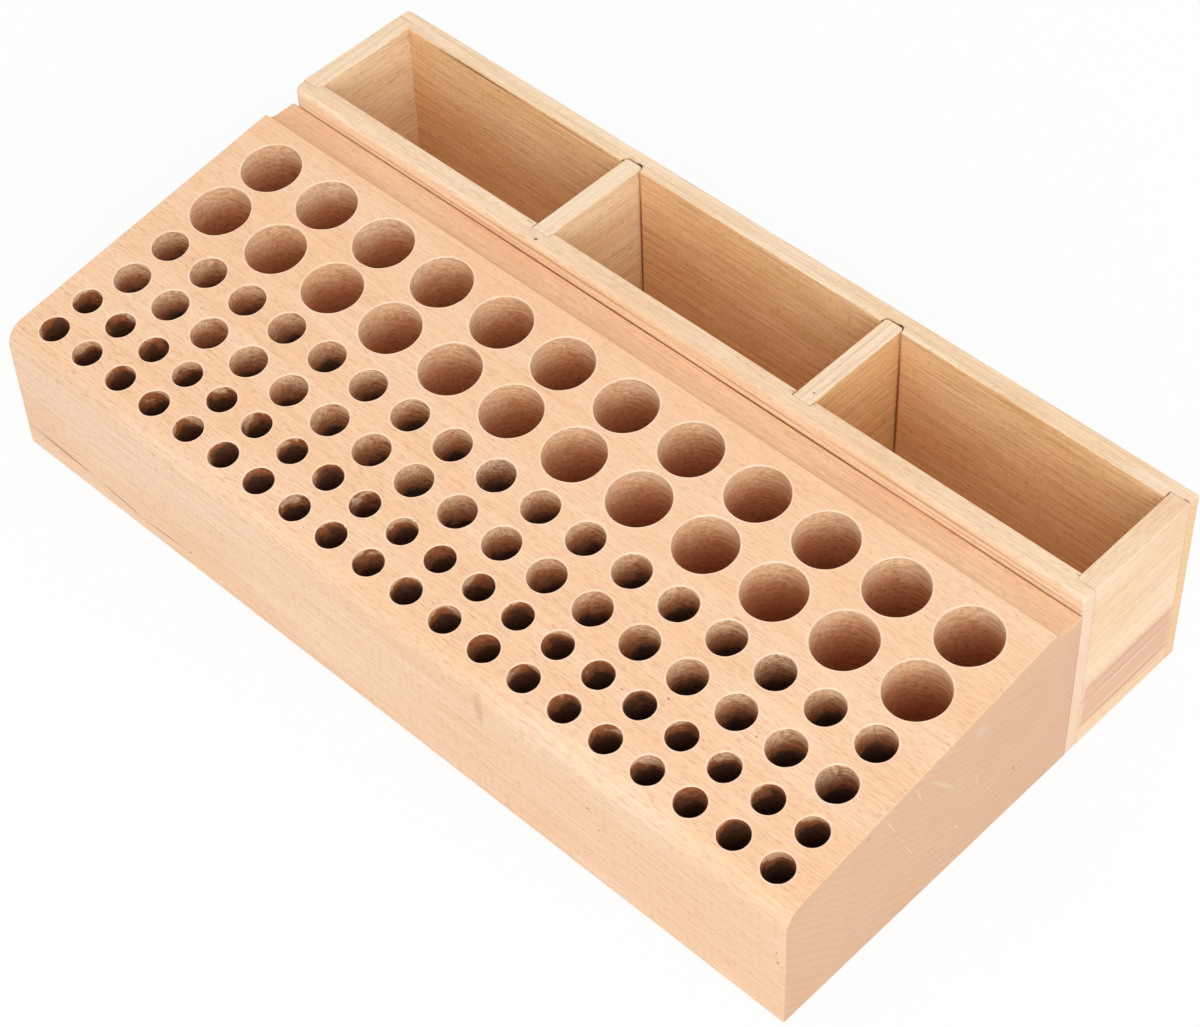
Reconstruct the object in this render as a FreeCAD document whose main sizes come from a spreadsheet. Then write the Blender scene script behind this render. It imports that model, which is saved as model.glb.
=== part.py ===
import FreeCAD, Part
import math
import os
import Sketcher
from FreeCAD import Placement, Rotation, Vector

# Bench rack for hand tools, in beech: a drilled block with a slanted top, and a divided tray glued behind it.
# X runs along the rack, Y from the block's front face to the tray's rear face, Z up from the bench.
# The origin is on the bench, under the middle of the whole rack.

# Driving dimensions: millimetres, degrees and counts.
DIMENSIONS = [
    ("block_length", 250.0, "block, end to end"),
    ("block_depth", 95.7, "block, front face to the seam with the tray"),
    ("front_height", 38.8, "front face up to the sharp corner, before rounding"),
    ("slope", 8.1, "tilt of the drilled top, low at the front"),
    ("front_top_round", 6.0, "round along the top of the front face"),
    ("front_bottom_round", 0.5, "easing along the foot of the front face"),
    ("ridge_setback", 86.4, "front face to the ridge where the slope ends"),
    ("ledge_height", 49.0, "low ledge between the ridge and the tray"),
    ("cove_radius", 3.3, "hollow from the ridge down to the ledge"),
    ("rear_edge_round", 0.6, "round of the ledge into the seam"),
    ("socket_depth", 30.0, "every socket, along its own axis"),
    ("small_diameter", 7.5, "sockets of rows 1 and 2"),
    ("small_pitch", 12.18, "centre to centre along the row"),
    ("small_count", 20, "sockets in each small row"),
    ("medium_diameter", 9.3, "sockets of rows 3 and 4"),
    ("medium_pitch", 14.04, "centre to centre along the row"),
    ("medium_count", 17, "sockets in each medium row"),
    ("large_diameter", 15.4, "sockets of rows 5 and 6"),
    ("large_pitch", 20.1, "centre to centre along the row"),
    ("large_count", 12, "sockets in each large row"),
    ("row_one_reach", 8.06, "sharp front corner to row 1, up the slope"),
    ("row_two_reach", 18.83, "sharp front corner to row 2, up the slope"),
    ("row_three_reach", 30.49, "sharp front corner to row 3, up the slope"),
    ("row_four_reach", 43.09, "sharp front corner to row 4, up the slope"),
    ("row_five_reach", 58.36, "sharp front corner to row 5, up the slope"),
    ("row_six_reach", 75.73, "sharp front corner to row 6, up the slope"),
    ("tray_length", 249.6, "tray, end to end"),
    ("tray_depth", 40.7, "tray, seam to rear face"),
    ("tray_height", 54.0, "tray walls, bench to top edge"),
    ("front_wall_thickness", 5.8, "long wall against the block"),
    ("rear_wall_thickness", 5.4, "long wall at the back"),
    ("end_thickness", 5.3, "end boards"),
    ("divider_thickness", 5.3, "dividers"),
    ("divider_offset", 41.3, "middle of the tray to the middle of a divider"),
    ("housing_depth", 2.0, "grooves and rebates cut into a board's inner face"),
    ("housing_corner_round", 1.0, "inner corners of the rear grooves, and divider corners"),
    ("side_clearance", 0.25, "each side of a divider in its grooves"),
    ("front_clearance", 0.1, "front end of a divider in its groove"),
    ("rear_clearance", 0.4, "rear end of a divider in its groove"),
    ("foot_clearance", 0.3, "divider above the floor panel"),
    ("glue_gap", 0.12, "glue line at the ends of the housed boards"),
    ("floor_thickness", 4.0, "floor panel"),
    ("floor_lift", 3.0, "underside of the floor panel above the bench"),
    ("seam_edge_round", 1.2, "tray's top edge above the ledge"),
    ("eased_edge", 0.35, "other top edges, sanded"),
    ("left_front_round", 2.6, "upright corner at the left front of the tray"),
    ("left_rear_round", 1.6, "upright corner at the left rear of the tray"),
    ("right_corner_round", 0.5, "upright corners at the right of the tray"),
]

# Rows of sockets from the front: node, socket size, distance up the slope.
ROWS = [
    ("small_socket_row_front", "small", "row_one_reach"),
    ("small_socket_row_rear", "small", "row_two_reach"),
    ("medium_socket_row_front", "medium", "row_three_reach"),
    ("medium_socket_row_rear", "medium", "row_four_reach"),
    ("large_socket_row_front", "large", "row_five_reach"),
    ("large_socket_row_rear", "large", "row_six_reach"),
]

# Places shared by several pieces, as expressions on the sheet.
FRONT_Y = "(-(dims.block_depth + dims.tray_depth) / 2)"
SEAM_Y = "(" + FRONT_Y + " + dims.block_depth)"
REAR_Y = "(" + SEAM_Y + " + dims.tray_depth)"
INNER_LENGTH = "(dims.tray_length - 2 * dims.end_thickness)"
INNER_DEPTH = "(dims.tray_depth - dims.front_wall_thickness - dims.rear_wall_thickness)"
HOUSED_FRONT_Y = "(" + SEAM_Y + " + dims.front_wall_thickness - dims.housing_depth)"
HOUSED_REAR_Y = "(" + REAR_Y + " - dims.rear_wall_thickness + dims.housing_depth)"
FLOOR_TOP = "(dims.floor_lift + dims.floor_thickness)"
GROOVE_WIDTH = "(dims.divider_thickness + 2 * dims.side_clearance)"

# Sketcher's names for the ends and centre of a curve, and for a sketch's own origin and axes.
START, END, CENTRE = 1, 2, 3
H_AXIS, V_AXIS = -1, -2
ORIGIN_POINT = (H_AXIS, START)

POCKET_THROUGH_ALL = 1
EDGE_TOLERANCE = 0.01
VOLUME_TOLERANCE = 1e-3

doc = FreeCAD.newDocument("bench_rack")


def make_sheet():
    """Write the driving dimensions into the sheet, one aliased cell each."""
    table = doc.addObject("Spreadsheet::Sheet", "dims")
    for row, (alias, value, meaning) in enumerate(DIMENSIONS, start=1):
        table.set("A%d" % row, alias)
        table.set("B%d" % row, str(value))
        table.set("C%d" % row, meaning)
        table.setAlias("B%d" % row, alias)
    doc.recompute()
    return table


sheet = make_sheet()


def size(alias):
    """Value of one driving dimension."""
    return float(sheet.get(alias))


def bind(thing, **bindings):
    """Tie properties of an object to expressions; a double underscore stands for a dot."""
    for path, expression in bindings.items():
        thing.setExpression(path.replace("__", "."), expression)


def new_body(label, turn=0.0):
    """Empty body with its own label, turned about Z."""
    body = doc.addObject("PartDesign::Body", label)
    body.Label = label
    body.Placement = Placement(Vector(), Rotation(Vector(0, 0, 1), turn))
    return body


def new_sketch(body, name, plane):
    """Sketch on one of the body's own origin planes."""
    sketch = body.newObject("Sketcher::SketchObject", name)
    support = next(item for item in body.Origin.OriginFeatures if item.Role == plane)
    sketch.AttachmentSupport = [(support, "")]
    sketch.MapMode = "FlatFace"
    return sketch


def measure(sketch, kind, first, second, expression):
    """Distance between two points of a sketch, tied to the sheet. It starts from the distance drawn."""
    step = sketch.getPoint(*second) - sketch.getPoint(*first)
    drawn = step.x if kind == "DistanceX" else step.y
    index = sketch.addConstraint(Sketcher.Constraint(kind, *first, *second, drawn or 1.0))
    sketch.setExpression("Constraints[%d]" % index, expression)


def join_ends(sketch, curves):
    """Make a closed chain: each curve's named end meets the next curve's named start."""
    for (curve, _, end), (after, start, _) in zip(curves, curves[1:] + curves[:1]):
        sketch.addConstraint(Sketcher.Constraint("Coincident", curve, end, after, start))


def add_rectangle(sketch, width, height, left=None, bottom=None):
    """Rectangle whose lower left corner is on the sketch's axes, or at the given distances from them."""
    corners = [Vector(0, 0), Vector(1, 0), Vector(1, 1), Vector(0, 1)]
    first = sketch.GeometryCount
    for start, end in zip(corners, corners[1:] + corners[:1]):
        sketch.addGeometry(Part.LineSegment(start, end))
    low, right, top, back = range(first, first + 4)
    join_ends(sketch, [(line, START, END) for line in (low, right, top, back)])
    for line in (low, top):
        sketch.addConstraint(Sketcher.Constraint("Horizontal", line))
    for line in (right, back):
        sketch.addConstraint(Sketcher.Constraint("Vertical", line))
    measure(sketch, "DistanceX", (low, START), (low, END), width)
    measure(sketch, "DistanceY", (right, START), (right, END), height)
    for kind, axis, distance in (("DistanceX", V_AXIS, left), ("DistanceY", H_AXIS, bottom)):
        if distance is None:
            sketch.addConstraint(Sketcher.Constraint("PointOnObject", low, START, axis))
        else:
            measure(sketch, kind, ORIGIN_POINT, (low, START), distance)


def pad(body, sketch, length):
    """Pull a sketch out of its plane by a length from the sheet."""
    feature = body.newObject("PartDesign::Pad", sketch.Name + "_pad")
    feature.Profile = sketch
    bind(feature, Length=length)
    doc.recompute()
    return feature


def cut_through(body, sketch, along_normal=True):
    """Cut a sketch through the whole body, along its plane's normal or against it."""
    before = body.Shape.Volume
    feature = body.newObject("PartDesign::Pocket", sketch.Name + "_cut")
    feature.Profile = sketch
    feature.Type = POCKET_THROUGH_ALL
    feature.Reversed = along_normal
    doc.recompute()
    if not body.Shape.Volume < before:
        raise RuntimeError(feature.Name + " removed nothing")
    return feature


def round_edges(body, base, name, radius, **where):
    """Round the edges whose every point lies at the given x, y or z of the body's own frame."""
    def lies_there(edge):
        box = edge.BoundBox
        for axis, place in where.items():
            low = getattr(box, axis.upper() + "Min")
            high = getattr(box, axis.upper() + "Max")
            if max(abs(low - place), abs(high - place)) > EDGE_TOLERANCE:
                return False
        return True

    shape = base.Shape
    found = ["Edge%d" % (index + 1) for index, edge in enumerate(shape.Edges) if lies_there(edge)]
    if not found:
        raise RuntimeError("no edge for " + name)
    feature = body.newObject("PartDesign::Fillet", name)
    feature.Base = (base, found)
    bind(feature, Radius=radius)
    doc.recompute()
    return feature


def block_profile(body):
    """Side view of the block: vertical front, slanted top, hollow down to the ledge, flat back and foot."""
    depth, height = size("block_depth"), size("front_height")
    ridge_y, ledge_z, radius = size("ridge_setback"), size("ledge_height"), size("cove_radius")
    ridge_z = height + ridge_y * math.tan(math.radians(size("slope")))
    drop = radius - (ridge_z - ledge_z)
    hollow_y = ridge_y + math.sqrt(radius ** 2 - drop ** 2)
    hollow_start = math.pi + math.asin(drop / radius)
    hollow_circle = Part.Circle(Vector(hollow_y, ledge_z + radius), Vector(0, 0, 1), radius)

    sketch = new_sketch(body, "block_profile", "YZ_Plane")
    outline = [
        Part.LineSegment(Vector(0, 0), Vector(depth, 0)),
        Part.LineSegment(Vector(depth, 0), Vector(depth, ledge_z)),
        Part.LineSegment(Vector(depth, ledge_z), Vector(hollow_y, ledge_z)),
        Part.ArcOfCircle(hollow_circle, hollow_start, 1.5 * math.pi),
        Part.LineSegment(Vector(ridge_y, ridge_z), Vector(0, height)),
        Part.LineSegment(Vector(0, height), Vector(0, 0)),
    ]
    foot, back, ledge, hollow, top, front = [sketch.addGeometry(curve) for curve in outline]
    chain = [(curve, START, END) for curve in (foot, back, ledge)]
    chain.append((hollow, END, START))
    chain.extend((curve, START, END) for curve in (top, front))
    join_ends(sketch, chain)
    sketch.addConstraint(Sketcher.Constraint("Coincident", foot, START, *ORIGIN_POINT))
    for line in (foot, ledge):
        sketch.addConstraint(Sketcher.Constraint("Horizontal", line))
    for line in (back, front):
        sketch.addConstraint(Sketcher.Constraint("Vertical", line))
    sketch.addConstraint(Sketcher.Constraint("Vertical", hollow, CENTRE, hollow, END))
    measure(sketch, "DistanceX", (foot, START), (foot, END), "dims.block_depth")
    measure(sketch, "DistanceY", (back, START), (back, END), "dims.ledge_height")
    measure(sketch, "DistanceY", (front, END), (front, START), "dims.front_height")
    measure(sketch, "DistanceX", ORIGIN_POINT, (top, START), "dims.ridge_setback")
    ridge_height = "dims.front_height + dims.ridge_setback * tan(dims.slope)"
    measure(sketch, "DistanceY", ORIGIN_POINT, (top, START), ridge_height)
    # The hollow's radius fixes how far behind the ridge it runs out into the ledge.
    rise = "(%s - dims.ledge_height)" % ridge_height
    run_out = "sqrt(2 * dims.cove_radius * %s - %s ^ 2)" % (rise, rise)
    measure(sketch, "DistanceX", (top, START), (hollow, END), run_out)
    return sketch


def drill_row(body, node, kind, reach):
    """Drill one row of sockets square to the slanted top, the first one at the left."""
    sketch = new_sketch(body, node + "_mark", "XY_Plane")
    sketch.AttachmentOffset = Placement(Vector(0, 0, 1), Rotation(Vector(1, 0, 0), 1))
    bind(sketch, AttachmentOffset__Base__z="dims.front_height",
         AttachmentOffset__Rotation__Angle="dims.slope")
    run = "dims.%s_pitch * (dims.%s_count - 1)" % (kind, kind)
    radius = size(kind + "_diameter") / 2
    socket = sketch.addGeometry(Part.Circle(Vector(1, 1), Vector(0, 0, 1), radius))
    measure(sketch, "DistanceX", ORIGIN_POINT, (socket, CENTRE), "(dims.block_length - %s) / 2" % run)
    measure(sketch, "DistanceY", ORIGIN_POINT, (socket, CENTRE), "dims." + reach)
    index = sketch.addConstraint(Sketcher.Constraint("Diameter", socket, 2 * radius))
    sketch.setExpression("Constraints[%d]" % index, "dims.%s_diameter" % kind)

    first = body.newObject("PartDesign::Pocket", node + "_first")
    first.Profile = sketch
    bind(first, Length="dims.socket_depth")
    doc.recompute()

    row = body.newObject("PartDesign::LinearPattern", node + "_drilled")
    row.Originals = [first]
    row.Direction = (sketch, ["H_Axis"])
    bind(row, Length=run, Occurrences="dims.%s_count" % kind)
    body.Tip = row
    doc.recompute()


def make_block():
    """The drilled block, as one body."""
    body = new_body("drilled_block")
    bind(body, Placement__Base__x="-dims.block_length / 2", Placement__Base__y=FRONT_Y)
    solid = pad(body, block_profile(body), "dims.block_length")
    ridge = max(solid.Shape.Vertexes, key=lambda corner: corner.Z)
    if abs(ridge.Y - size("ridge_setback")) > EDGE_TOLERANCE:
        raise RuntimeError("the slope does not end at the ridge")
    solid = round_edges(body, solid, "front_top", "dims.front_top_round", y=0, z=size("front_height"))
    solid = round_edges(body, solid, "front_foot", "dims.front_bottom_round", y=0, z=0)
    solid = round_edges(body, solid, "ledge_rear", "dims.rear_edge_round",
                        y=size("block_depth"), z=size("ledge_height"))
    blank = solid.Shape.Volume
    for node, kind, reach in ROWS:
        drill_row(body, node, kind, reach)
    drilled = sum(size(kind + "_count") * math.pi * (size(kind + "_diameter") / 2) ** 2 * size("socket_depth")
                  for _, kind, _ in ROWS)
    if abs(blank - drilled - body.Shape.Volume) > VOLUME_TOLERANCE * blank:
        raise RuntimeError("the sockets did not all cut the block")
    return body


def row_limits():
    """Places up the slope where the block is divided: midway between the sockets of neighbouring rows."""
    limits = ["(-dims.block_depth)"]
    for (_, kind, reach), (_, next_kind, next_reach) in zip(ROWS, ROWS[1:]):
        behind = "dims.%s + dims.%s_diameter / 2" % (reach, kind)
        ahead = "dims.%s - dims.%s_diameter / 2" % (next_reach, next_kind)
        limits.append("((%s + %s) / 2)" % (behind, ahead))
    limits.append("(2 * dims.block_depth)")
    return limits


def cut_from_block(block, node, low, high, bottom, top):
    """Part of the block between two places up the slope and two depths below it."""
    slab = doc.addObject("Part::Box", node + "_slab")
    slab.Placement = Placement(Vector(0, 0, 1), Rotation(Vector(1, 0, 0), 1))
    forward = "%s * cos(dims.slope) + %s * sin(dims.slope)" % (low, bottom)
    upward = "%s * sin(dims.slope) - %s * cos(dims.slope)" % (low, bottom)
    bind(slab, Length="dims.block_length", Width=high + " - " + low, Height=bottom + " - " + top,
         Placement__Base__x="-dims.block_length / 2",
         Placement__Base__y=FRONT_Y + " + " + forward,
         Placement__Base__z="dims.front_height + " + upward,
         Placement__Rotation__Angle="dims.slope")
    piece = doc.addObject("Part::Common", node)
    piece.Label = node
    piece.Base = block
    piece.Tool = slab
    return piece


def divide_block(block):
    """The block's solid foot below the sockets, and one node for each row of sockets above it."""
    limits = row_limits()
    far_above, far_below = "(-dims.block_depth)", "(2 * dims.block_depth)"
    pieces = [cut_from_block(block, "block_foot", limits[0], limits[-1], far_below, "dims.socket_depth")]
    for (node, _, _), low, high in zip(ROWS, limits, limits[1:]):
        pieces.append(cut_from_block(block, node, low, high, "dims.socket_depth", far_above))
    doc.recompute()
    return pieces


def make_long_wall(label, thickness, turn, place_x, place_y, first_round, last_round, top_round,
                   groove_round=None):
    """Long board of the tray, from its outer face inwards, with rebates for the ends and grooves."""
    length, wall, height = size("tray_length"), size(thickness), size("tray_height")
    groove_face = wall - size("housing_depth")
    body = new_body(label, turn)
    bind(body, Placement__Base__x=place_x, Placement__Base__y=place_y)

    outline = new_sketch(body, label + "_plan", "XY_Plane")
    add_rectangle(outline, "dims.tray_length", "dims." + thickness)
    pad(body, outline, "dims.tray_height")

    # Rebates and grooves start at the depth of the housing and run out past the inner face.
    housings = new_sketch(body, label + "_housings", "XY_Plane")
    depth = "2 * dims.housing_depth"
    cheek = "dims.%s - dims.housing_depth" % thickness
    middle = "dims.tray_length / 2"
    add_rectangle(housings, "dims.end_thickness", depth, None, cheek)
    add_rectangle(housings, "dims.end_thickness", depth, "dims.tray_length - dims.end_thickness", cheek)
    for side in ("-", "+"):
        left = "%s %s dims.divider_offset - %s / 2" % (middle, side, GROOVE_WIDTH)
        add_rectangle(housings, GROOVE_WIDTH, depth, left, cheek)
    solid = cut_through(body, housings)

    if groove_round:
        half_groove = size("divider_thickness") / 2 + size("side_clearance")
        offset = size("divider_offset")
        for index, centre in enumerate((length / 2 - offset, length / 2 + offset)):
            for corner, side in (("a", -half_groove), ("b", half_groove)):
                name = "%s_groove_%d%s" % (label, index, corner)
                solid = round_edges(body, solid, name, groove_round, x=centre + side, y=groove_face)

    solid = round_edges(body, solid, label + "_first_corner", first_round, x=0, y=0)
    solid = round_edges(body, solid, label + "_last_corner", last_round, x=length, y=0)
    solid = round_edges(body, solid, label + "_top_outside", top_round, y=0, z=height)
    round_edges(body, solid, label + "_top_inside", "dims.eased_edge", y=wall, z=height)

    slot = new_sketch(body, label + "_floor_slot", "YZ_Plane")
    add_rectangle(slot, depth, "dims.floor_thickness", cheek, "dims.floor_lift")
    cut_through(body, slot)
    return body


def make_end_board(label, turn, place_x, place_y):
    """Short board at one end of the tray, from its outer face inwards, slotted for the floor panel."""
    height = size("tray_height")
    body = new_body(label, turn)
    bind(body, Placement__Base__x=place_x, Placement__Base__y=place_y)
    outline = new_sketch(body, label + "_plan", "XY_Plane")
    depth = INNER_DEPTH + " + 2 * dims.housing_depth - 2 * dims.glue_gap"
    add_rectangle(outline, "dims.end_thickness", depth)
    solid = pad(body, outline, "dims.tray_height")
    solid = round_edges(body, solid, label + "_top_outside", "dims.eased_edge", x=0, z=height)
    round_edges(body, solid, label + "_top_inside", "dims.eased_edge", x=size("end_thickness"), z=height)
    slot = new_sketch(body, label + "_floor_slot", "XZ_Plane")
    slot_left = "dims.end_thickness - dims.housing_depth"
    add_rectangle(slot, "2 * dims.housing_depth", "dims.floor_thickness", slot_left, "dims.floor_lift")
    cut_through(body, slot, along_normal=False)
    return body


def make_floor():
    """Panel in the slots of the four boards, under all three compartments."""
    body = new_body("tray_floor")
    length = INNER_LENGTH + " + 2 * dims.housing_depth - 2 * dims.glue_gap"
    depth = INNER_DEPTH + " + 2 * dims.housing_depth - 2 * dims.glue_gap"
    bind(body, Placement__Base__x="-(%s) / 2" % length,
         Placement__Base__y=HOUSED_FRONT_Y + " + dims.glue_gap",
         Placement__Base__z="dims.floor_lift")
    outline = new_sketch(body, "tray_floor_plan", "XY_Plane")
    add_rectangle(outline, length, depth)
    pad(body, outline, "dims.floor_thickness")
    return body


def make_divider(label, side):
    """Board that drops into a pair of grooves, its rear corners rounded like the groove's."""
    thickness = size("divider_thickness")
    body = new_body(label)
    bind(body, Placement__Base__x="%s dims.divider_offset - dims.divider_thickness / 2" % side,
         Placement__Base__y=HOUSED_FRONT_Y + " + dims.front_clearance",
         Placement__Base__z=FLOOR_TOP + " + dims.foot_clearance")
    outline = new_sketch(body, label + "_plan", "XY_Plane")
    length = INNER_DEPTH + " + 2 * dims.housing_depth - dims.front_clearance - dims.rear_clearance"
    add_rectangle(outline, "dims.divider_thickness", length)
    solid = pad(body, outline, "dims.tray_height - %s - dims.foot_clearance" % FLOOR_TOP)
    rear, top = solid.Shape.BoundBox.YMax, solid.Shape.BoundBox.ZMax
    for corner, place in (("left", 0), ("right", thickness)):
        name = "%s_rear_%s" % (label, corner)
        solid = round_edges(body, solid, name, "dims.housing_corner_round", x=place, y=rear)
    # The easing follows the smooth top edge from the left side round the rear end to the right side.
    round_edges(body, solid, label + "_top", "dims.eased_edge", x=0, z=top)
    return body


def make_tray():
    """The seven boards of the tray."""
    half_length = "dims.tray_length / 2"
    return [
        make_long_wall("tray_front_wall", "front_wall_thickness", 0, "-" + half_length, SEAM_Y,
                       "dims.left_front_round", "dims.right_corner_round", "dims.seam_edge_round"),
        make_long_wall("tray_rear_wall", "rear_wall_thickness", 180, half_length, REAR_Y,
                       "dims.right_corner_round", "dims.left_rear_round", "dims.eased_edge",
                       groove_round="dims.housing_corner_round + dims.side_clearance"),
        make_end_board("tray_left_end", 0, "-" + half_length, HOUSED_FRONT_Y + " + dims.glue_gap"),
        make_end_board("tray_right_end", 180, half_length, HOUSED_REAR_Y + " - dims.glue_gap"),
        make_floor(),
        make_divider("left_divider", "-"),
        make_divider("right_divider", ""),
    ]


def check(nodes):
    """Stop if any feature failed, or a piece is not one valid solid."""
    for thing in doc.Objects:
        if "Invalid" in thing.State or "Error" in thing.State:
            raise RuntimeError("%s failed: %s" % (thing.Name, thing.State))
    for node in nodes:
        if node.Shape.isNull() or not node.Shape.isValid() or len(node.Shape.Solids) != 1:
            raise RuntimeError(node.Label + " is not one valid solid")


def write(nodes):
    """Write one file for each piece and print what it measures."""
    os.makedirs("parts", exist_ok=True)
    for node in nodes:
        node.Shape.exportStep("parts/%s.step" % node.Label)
        box = node.Shape.optimalBoundingBox()
        spans = [box.XMin, box.XMax, box.YMin, box.YMax, box.ZMin, box.ZMax]
        print("%-24s %9.0f mm3  " % (node.Label, node.Shape.Volume), ["%.2f" % span for span in spans])


nodes = divide_block(make_block()) + make_tray()
doc.recompute()
check(nodes)
write(nodes)
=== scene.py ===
import math
import random

import bpy
from mathutils import Matrix, Vector
from mathutils.geometry import delaunay_2d_cdt


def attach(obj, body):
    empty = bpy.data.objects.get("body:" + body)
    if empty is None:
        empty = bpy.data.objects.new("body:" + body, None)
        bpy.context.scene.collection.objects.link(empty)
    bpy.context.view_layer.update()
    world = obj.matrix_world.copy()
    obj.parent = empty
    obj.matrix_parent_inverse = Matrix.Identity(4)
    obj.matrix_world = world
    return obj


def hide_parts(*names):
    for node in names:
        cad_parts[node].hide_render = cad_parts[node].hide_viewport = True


# Bench rack for hand tools, in beech: a drilled block with a slanted top, and a divided tray glued behind it.
# Sizes are in millimetres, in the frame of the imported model, unless a name says otherwise.

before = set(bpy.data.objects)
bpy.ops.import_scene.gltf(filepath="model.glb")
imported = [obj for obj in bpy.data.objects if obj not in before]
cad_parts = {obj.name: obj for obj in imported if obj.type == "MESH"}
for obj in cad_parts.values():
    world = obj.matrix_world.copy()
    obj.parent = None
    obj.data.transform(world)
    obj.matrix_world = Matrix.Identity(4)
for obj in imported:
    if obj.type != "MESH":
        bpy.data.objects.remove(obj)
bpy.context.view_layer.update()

MM = 0.001

# The block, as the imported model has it.
HALF_LENGTH = 125.0
FRONT_Y = -68.2
SEAM_Y = 27.5
FRONT_HEIGHT = 38.8
SLOPE = math.radians(8.1)
FRONT_TOP_ROUND = 6.0
FRONT_BOTTOM_ROUND = 0.5
RIDGE_SETBACK = 86.4
LEDGE_HEIGHT = 49.0
COVE_RADIUS = 3.3
REAR_EDGE_ROUND = 0.6
SOCKET_DEPTH = 30.0

# Which finish a face of the block takes.
PLANED, SMALL_BORE, MEDIUM_BORE, LARGE_BORE, TORN, COVED, RIM = range(7)

# Rows of sockets from the front: diameter, spacing along the row, count, distance up the slope, finish.
ROWS = [
    (7.5, 12.18, 20, 8.06, SMALL_BORE),
    (7.5, 12.18, 20, 18.83, SMALL_BORE),
    (9.3, 14.04, 17, 30.49, MEDIUM_BORE),
    (9.3, 14.04, 17, 43.09, MEDIUM_BORE),
    (15.4, 20.1, 12, 58.36, LARGE_BORE),
    (15.4, 20.1, 12, 75.73, LARGE_BORE),
]
BLOCK_NODES = [
    "block_foot",
    "small_socket_row_front", "small_socket_row_rear",
    "medium_socket_row_front", "medium_socket_row_rear",
    "large_socket_row_front", "large_socket_row_rear",
]
# Sockets whose walls the drill tore, as row from the front and place from the left, both counted from 0.
TORN_SOCKETS = {(2, 16), (3, 8), (3, 14)}

# How finely the block is drawn.
END_EASING = 0.45
END_EASING_STEPS = 3
ROUND_STEPS = 14
ROUND_STEPS_DRILLED = 3
ROUND_MARGIN = 1e-3
ROUND_POINT_SPACING = 2.03
SAME_POINT = 1e-5
FOOT_STEPS = 4
COVE_STEPS = 8
REAR_STEPS = 4
MOUTH_EASING = 0.2
MOUTH_WANDER = 0.7
MOUTH_WAVES = (2, 3, 5, 9)
MOUTH_WAVE_SHARES = (0.3, 1.0)
MOUTH_CLEARANCE = 0.4
RIM_WIDTH = 0.22
FEWEST_CORNERS = 30
CHORD = 0.72
WALL_STEPS = 4
SMOOTH_BELOW = math.radians(28.0)
FLAT_ABOVE = 5.0
SEED = 11

UP_SLOPE = Vector((0.0, math.cos(SLOPE), math.sin(SLOPE)))
SOCKET_AXIS = Vector((0.0, -math.sin(SLOPE), math.cos(SLOPE)))
ROUND_REACH = FRONT_TOP_ROUND * math.tan((math.pi / 2 - SLOPE) / 2)
RIDGE_REACH = RIDGE_SETBACK / math.cos(SLOPE)


def on_slope(x, reach, depth=0.0):
    """Point at this place along the rack and up the slope, this far below the slanted plane."""
    return Vector((x, FRONT_Y, FRONT_HEIGHT)) + UP_SLOPE * reach - SOCKET_AXIS * depth


def round_drop(reach):
    """How far the rounded front edge lies below the slanted plane."""
    short = max(ROUND_REACH - reach, 0.0)
    return FRONT_TOP_ROUND - math.sqrt(FRONT_TOP_ROUND ** 2 - short ** 2)


def arc(centre, radius, start, stop, steps):
    """Points on an arc of the side view, from one angle to another, both ends included."""
    turns = [math.radians(start + (stop - start) * step / steps) for step in range(steps + 1)]
    return [(centre[0] + radius * math.cos(turn), centre[1] + radius * math.sin(turn)) for turn in turns]


def side_view():
    """Outline of the block as (y, z): from the ridge down the slope, the front and the foot, and back up."""
    round_centre = on_slope(0.0, ROUND_REACH, FRONT_TOP_ROUND).yz
    foot_centre = (FRONT_Y + FRONT_BOTTOM_ROUND, FRONT_BOTTOM_ROUND)
    rear_centre = (SEAM_Y - REAR_EDGE_ROUND, LEDGE_HEIGHT - REAR_EDGE_ROUND)
    ridge = on_slope(0.0, RIDGE_REACH).yz
    drop = COVE_RADIUS - (ridge[1] - LEDGE_HEIGHT)
    cove_centre = (ridge[0] + math.sqrt(COVE_RADIUS ** 2 - drop ** 2), LEDGE_HEIGHT + COVE_RADIUS)
    cove_end = 180.0 + math.degrees(math.asin(drop / COVE_RADIUS))
    outline = [tuple(ridge)]
    outline += arc(round_centre, FRONT_TOP_ROUND, 90.0 + math.degrees(SLOPE), 180.0, ROUND_STEPS)
    outline += arc(foot_centre, FRONT_BOTTOM_ROUND, 180.0, 270.0, FOOT_STEPS)
    outline.append((SEAM_Y, 0.0))
    outline += arc(rear_centre, REAR_EDGE_ROUND, 0.0, 90.0, REAR_STEPS)
    outline += arc(cove_centre, COVE_RADIUS, 270.0, cove_end, COVE_STEPS)[:-1]
    return outline


def inset(outline, distance):
    """The same outline moved inwards by a small distance, point by point."""
    moved = []
    for before, here, after in zip(outline[-1:] + outline[:-1], outline, outline[1:] + outline[:1]):
        inwards = []
        for start, end in ((before, here), (here, after)):
            along = (Vector(end) - Vector(start)).normalized()
            inwards.append(Vector((-along.y, along.x)))
        middle = (inwards[0] + inwards[1]).normalized()
        moved.append(tuple(Vector(here) + middle * distance / middle.dot(inwards[0])))
    return moved


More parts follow.
